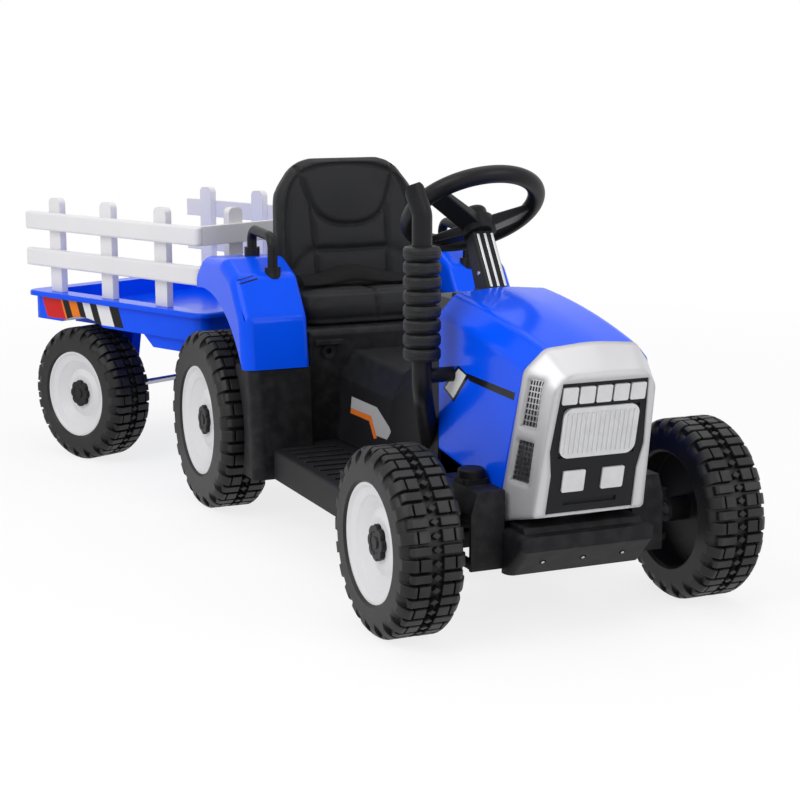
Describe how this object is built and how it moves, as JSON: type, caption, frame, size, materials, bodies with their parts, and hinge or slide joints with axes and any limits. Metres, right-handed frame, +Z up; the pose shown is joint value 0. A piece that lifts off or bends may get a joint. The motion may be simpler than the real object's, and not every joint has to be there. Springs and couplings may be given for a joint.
{
  "type": "ride on tractor toy",
  "caption": "Child's battery ride on tractor with lugged wheels, hood, exhaust stack, padded seat and steering wheel, towing a fenced cart on a swinging drawbar.",
  "frame": {"origin": "middle of the bottom of the bounding box of tractor and trailer as stored, on the ground", "axes": "+X forward along the tractor, +Y to the driver's left, +Z up"},
  "size_m": [1.4544, 0.5868, 0.5212],
  "materials": {
    "blue_plastic": "gloss moulded",
    "white_plastic": "satin moulded",
    "rim_plastic": "satin moulded",
    "cap_plastic": "satin moulded",
    "tyre_plastic": "matt moulded",
    "black_plastic": "fine grained moulded",
    "silver_plastic": "metallic painted",
    "mesh": "plated",
    "lens": "clear moulded",
    "seat_leather": "grained",
    "webbing": "woven",
    "steel": "zinc plated"
  },
  "bodies": {
    "tractor": {"lower_body": "black_plastic", "seat_pedestal": "black_plastic", "charge_socket": "black_plastic", "fender_right": "blue_plastic", "fender_left": "blue_plastic", "grab_handles": "black_plastic", "hood": "blue_plastic", "grille_bezel": "silver_plastic", "side_mesh": "mesh", "grille_panel": "black_plastic", "lamp_lenses": "lens", "axle_housing": "black_plastic", "filler_caps": "black_plastic", "bumper": "black_plastic", "centre_cover": "black_plastic", "dash": "black_plastic", "column_cover": "black_plastic", "exhaust_pipe": "black_plastic", "exhaust_bellows": "black_plastic", "seat_back": "seat_leather", "seat_cushion": "seat_leather", "seat_belt": "webbing", "rear_axle": "steel", "gearboxes": "black_plastic", "battery": "black_plastic", "tow_bracket": "steel", "hitch_pin": "steel"},
    "steering": {"steering_wheel": "black_plastic", "steering_shaft": "steel"},
    "horn": {"horn_pad": "black_plastic"},
    "track_rod": {"tie_rod": "black_plastic"},
    "knuckle_r": {"knuckle_right": "steel"},
    "knuckle_l": {"knuckle_left": "steel"},
    "wheel_front_r": {"tyre_front_right": "tyre_plastic", "rim_front_right": "rim_plastic", "hub_cap_front_right": "cap_plastic"},
    "wheel_front_l": {"tyre_front_left": "tyre_plastic", "rim_front_left": "rim_plastic", "hub_cap_front_left": "cap_plastic"},
    "wheel_rear_r": {"tyre_rear_right": "tyre_plastic", "rim_rear_right": "rim_plastic", "hub_cap_rear_right": "cap_plastic"},
    "wheel_rear_l": {"tyre_rear_left": "tyre_plastic", "rim_rear_left": "rim_plastic", "hub_cap_rear_left": "cap_plastic"},
    "accelerator": {"pedal": "black_plastic"},
    "rocker": {"direction_rocker": "black_plastic"},
    "power": {"power_button": "black_plastic"},
    "trailer": {"trailer_bed": "blue_plastic", "fence_right": "white_plastic", "fence_left": "white_plastic", "fence_front": "white_plastic", "drawbar": "steel", "trailer_axle": "steel"},
    "wheel_trailer_r": {"tyre_trailer_right": "tyre_plastic", "rim_trailer_right": "rim_plastic", "hub_cap_trailer_right": "cap_plastic"},
    "wheel_trailer_l": {"tyre_trailer_left": "tyre_plastic", "rim_trailer_left": "rim_plastic", "hub_cap_trailer_left": "cap_plastic"}
  },
  "joints": [
    {"name": "steering_turn", "type": "hinge", "parent": "tractor", "child": "steering", "pos_m": [0.38622, 0.0619, 0.462], "axis": [-0.5878, 0, 0.809], "range_deg": [-31, 31]},
    {"name": "horn_press", "type": "slide", "parent": "steering", "child": "horn", "axis": [0.5878, 0, -0.809], "range_m": [0, 0.003], "stiffness_N_per_m": 600, "springref_m": -0.003},
    {"name": "track_rod_slide", "type": "slide", "parent": "tractor", "child": "track_rod", "axis": [0, -1, 0], "range_m": [-0.0124, 0.0124]},
    {"name": "knuckle_r_turn", "type": "hinge", "parent": "tractor", "child": "knuckle_r", "pos_m": [0.60022, -0.0781, 0.11], "axis": [0, 0, 1], "range_deg": [-22.5, 22.5]},
    {"name": "knuckle_l_turn", "type": "hinge", "parent": "tractor", "child": "knuckle_l", "pos_m": [0.60022, 0.2019, 0.11], "axis": [0, 0, 1], "range_deg": [-22.5, 22.5]},
    {"name": "wheel_front_r_roll", "type": "hinge", "parent": "knuckle_r", "child": "wheel_front_r", "pos_m": [0.60022, -0.1341, 0.11], "axis": [0, 1, 0], "continuous": true},
    {"name": "wheel_front_l_roll", "type": "hinge", "parent": "knuckle_l", "child": "wheel_front_l", "pos_m": [0.60022, 0.2579, 0.11], "axis": [0, 1, 0], "continuous": true},
    {"name": "wheel_rear_r_roll", "type": "hinge", "parent": "tractor", "child": "wheel_rear_r", "pos_m": [-0.05978, -0.1271, 0.129], "axis": [0, 1, 0], "continuous": true},
    {"name": "wheel_rear_l_roll", "type": "hinge", "parent": "tractor", "child": "wheel_rear_l", "pos_m": [-0.05978, 0.2509, 0.129], "axis": [0, 1, 0], "continuous": true},
    {"name": "pedal_press", "type": "hinge", "parent": "tractor", "child": "accelerator", "pos_m": [0.35822, -0.0761, 0.131], "axis": [0, 1, 0], "range_deg": [0, 12], "stiffness_Nm_per_rad": 1.2, "springref_deg": -14.32},
    {"name": "direction_rock", "type": "hinge", "parent": "tractor", "child": "rocker", "pos_m": [0.42822, 0.0999, 0.358], "axis": [0, 1, 0], "range_deg": [-8, 8]},
    {"name": "power_press", "type": "slide", "parent": "tractor", "child": "power", "axis": [0, 0, -1], "range_m": [0, 0.003], "stiffness_N_per_m": 500, "springref_m": -0.003},
    {"name": "trailer_swing", "type": "hinge", "parent": "tractor", "child": "trailer", "pos_m": [-0.23478, 0.0619, 0.104], "axis": [0, 0, 1], "range_deg": [-52, 4]},
    {"name": "wheel_trailer_r_roll", "type": "hinge", "parent": "trailer", "child": "wheel_trailer_r", "pos_m": [-0.45858, -0.21726, 0.108], "axis": [-0.4067, 0.9135, 0], "continuous": true},
    {"name": "wheel_trailer_l_roll", "type": "hinge", "parent": "trailer", "child": "wheel_trailer_l", "pos_m": [-0.59199, 0.08238, 0.108], "axis": [-0.4067, 0.9135, 0], "continuous": true}
  ],
  "couplings": [
    {"joint": "track_rod_slide", "follows": "steering_turn", "m_per_rad": 0.02271},
    {"joint": "knuckle_r_turn", "follows": "steering_turn", "ratio": 0.7097},
    {"joint": "knuckle_l_turn", "follows": "steering_turn", "ratio": 0.7097}
  ]
}
